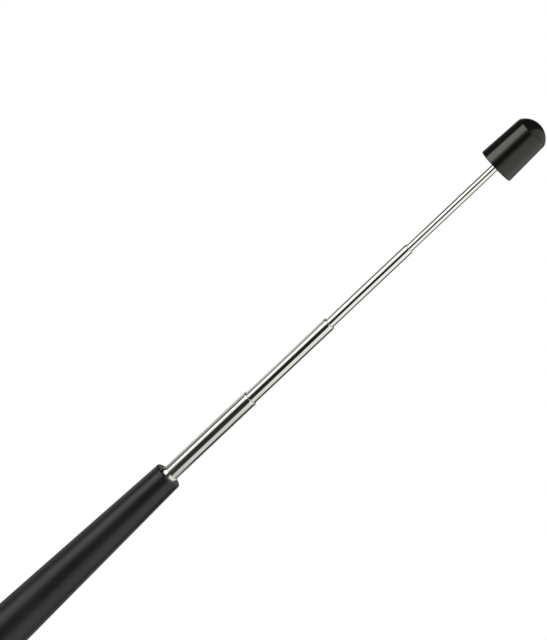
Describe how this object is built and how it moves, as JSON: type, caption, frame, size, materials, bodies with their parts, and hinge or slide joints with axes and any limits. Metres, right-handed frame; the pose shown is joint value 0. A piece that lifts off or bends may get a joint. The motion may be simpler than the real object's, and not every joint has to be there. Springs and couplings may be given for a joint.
{
  "type": "telescopic whip antenna",
  "caption": "Telescopic whip antenna: chromed sliding sections on a tapered black base with a loading coil, a domed tip cap and a bayonet coaxial plug at the foot.",
  "frame": {"origin": "on the mast axis at the front face of the bayonet coupling ring, which is also the bottom centre of the bounding box", "axes": "+Z along the mast from the plug to the tip; one entry notch of the coupling ring faces -Y at rest"},
  "size_m": [0.0154, 0.0154, 0.2567],
  "materials": {
    "base_plastic": "satin moulded black plastic, fine grain",
    "cap_plastic": "glossy black plastic",
    "mast_chrome": "bright chrome plate on drawn brass tube",
    "nickel_plate": "bright nickel plate on turned brass",
    "contact_bronze": "plated spring bronze",
    "gold_plate": "gold plate",
    "white_insulator": "waxy white fluoropolymer",
    "natural_acetal": "natural acetal",
    "gasket_rubber": "red-brown silicone rubber",
    "spring_steel": "spring steel strip",
    "copper_wire": "enamelled copper wire",
    "sleeve_plastic": "black heat-shrink sleeve",
    "wire_jacket": "red wire insulation",
    "turned_brass": "turned brass",
    "tinned_brass": "tinned brass strip",
    "spring_bronze": "phosphor bronze strip"
  },
  "bodies": {
    "base": {"base_shell": "base_plastic", "base_end_plug": "nickel_plate", "tube_spacer": "natural_acetal", "wave_washers": "spring_steel", "plug_body": "nickel_plate", "outer_contact": "contact_bronze", "contact_insulator": "white_insulator", "rear_insulator": "white_insulator", "centre_contact": "gold_plate", "face_gasket": "gasket_rubber", "clamp_nut": "nickel_plate", "coil_former": "natural_acetal", "loading_coil": "copper_wire", "coil_sleeve": "sleeve_plastic", "feed_wire": "wire_jacket", "mast_plug": "turned_brass", "solder_lug": "tinned_brass", "stud_nut": "turned_brass", "outer_tube": "mast_chrome"},
    "bush_1": {"friction_bush_1": "spring_bronze"},
    "section_1": {"mast_tube_1": "mast_chrome"},
    "bush_2": {"friction_bush_2": "spring_bronze"},
    "section_2": {"mast_tube_2": "mast_chrome"},
    "bush_3": {"friction_bush_3": "spring_bronze"},
    "section_3": {"mast_tube_3": "mast_chrome"},
    "bush_4": {"friction_bush_4": "spring_bronze"},
    "tip": {"tip_rod": "mast_chrome", "cap_insert": "turned_brass", "tip_cap": "cap_plastic"},
    "ring_slider": {"thrust_washer": "spring_steel"},
    "coupling": {"coupling_ring": "nickel_plate", "ring_retainer": "nickel_plate"}
  },
  "joints": [
    {"name": "extend_1", "type": "slide", "parent": "base", "child": "bush_1", "axis": [0, 0, 1], "range_m": [-0.0322, 0]},
    {"name": "spin_1", "type": "hinge", "parent": "bush_1", "child": "section_1", "pos_m": [0, 0, 0.095], "axis": [0, 0, 1], "continuous": true},
    {"name": "extend_2", "type": "slide", "parent": "section_1", "child": "bush_2", "axis": [0, 0, 1], "range_m": [-0.0322, 0]},
    {"name": "spin_2", "type": "hinge", "parent": "bush_2", "child": "section_2", "pos_m": [0, 0, 0.13], "axis": [0, 0, 1], "continuous": true},
    {"name": "extend_3", "type": "slide", "parent": "section_2", "child": "bush_3", "axis": [0, 0, 1], "range_m": [-0.0323, 0]},
    {"name": "spin_3", "type": "hinge", "parent": "bush_3", "child": "section_3", "pos_m": [0, 0, 0.16], "axis": [0, 0, 1], "continuous": true},
    {"name": "extend_4", "type": "slide", "parent": "section_3", "child": "bush_4", "axis": [0, 0, 1], "range_m": [-0.0402, 0]},
    {"name": "spin_4", "type": "hinge", "parent": "bush_4", "child": "tip", "pos_m": [0, 0, 0.199], "axis": [0, 0, 1], "continuous": true},
    {"name": "ring_float", "type": "slide", "parent": "base", "child": "ring_slider", "axis": [0, 0, -1], "range_m": [0, 0.0008], "stiffness_N_per_m": 800, "springref_m": -0.0005, "deforming": ["wave_washers"]},
    {"name": "ring_turn", "type": "hinge", "parent": "ring_slider", "child": "coupling", "pos_m": [0, 0, 0.007], "axis": [0, 0, 1], "continuous": true}
  ]
}
